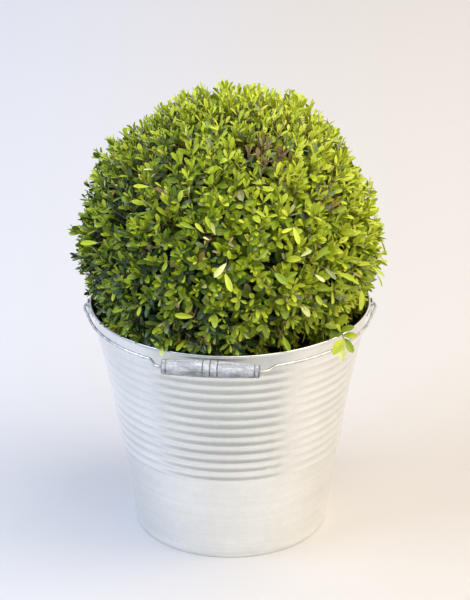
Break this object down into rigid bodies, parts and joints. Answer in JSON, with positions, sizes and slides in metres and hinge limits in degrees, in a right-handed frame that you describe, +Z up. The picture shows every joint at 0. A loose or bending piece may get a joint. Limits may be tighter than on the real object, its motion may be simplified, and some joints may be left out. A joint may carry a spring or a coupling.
{
  "type": "potted boxwood ball in a bucket",
  "caption": "Boxwood clipped to a ball, growing in a ribbed galvanised bucket with a swinging wire bail and a turned wooden grip.",
  "frame": {"origin": "middle of the bucket's foot, on the surface that it stands on", "axes": "+Z up; the bail lies down on the front side, towards -Y, and its ears are at the left and right, on X"},
  "size_m": [0.3105, 0.3248, 0.4654],
  "materials": {
    "galvanised_steel": "dull galvanised zinc with small pale specks",
    "ear_steel": "dull galvanised zinc",
    "wire_steel": "drawn galvanised wire",
    "whitewashed_wood": "turned, weathered and white-washed",
    "potting_soil": "damp dark potting soil",
    "boxwood_bark": "rough grey-brown bark",
    "boxwood_leaf": "waxy small leaves"
  },
  "bodies": {
    "bucket": {"bucket_wall": "galvanised_steel", "bucket_bottom": "galvanised_steel", "ear_left": "ear_steel", "ear_right": "ear_steel", "soil": "potting_soil", "main_stem": "boxwood_bark", "foliage_ball": "boxwood_leaf"},
    "bail": {"bail_wire": "wire_steel"},
    "grip": {"wooden_grip": "whitewashed_wood"}
  },
  "joints": [
    {"name": "bail_swing", "type": "hinge", "parent": "bucket", "child": "bail", "pos_m": [0, 0, 0.2415], "axis": [-1, 0, 0], "range_deg": [-22, 5]},
    {"name": "grip_spin", "type": "hinge", "parent": "bail", "child": "grip", "pos_m": [-0.01867, -0.15202, 0.23832], "axis": [0.9925, -0.1218, -0.0026], "continuous": true}
  ]
}
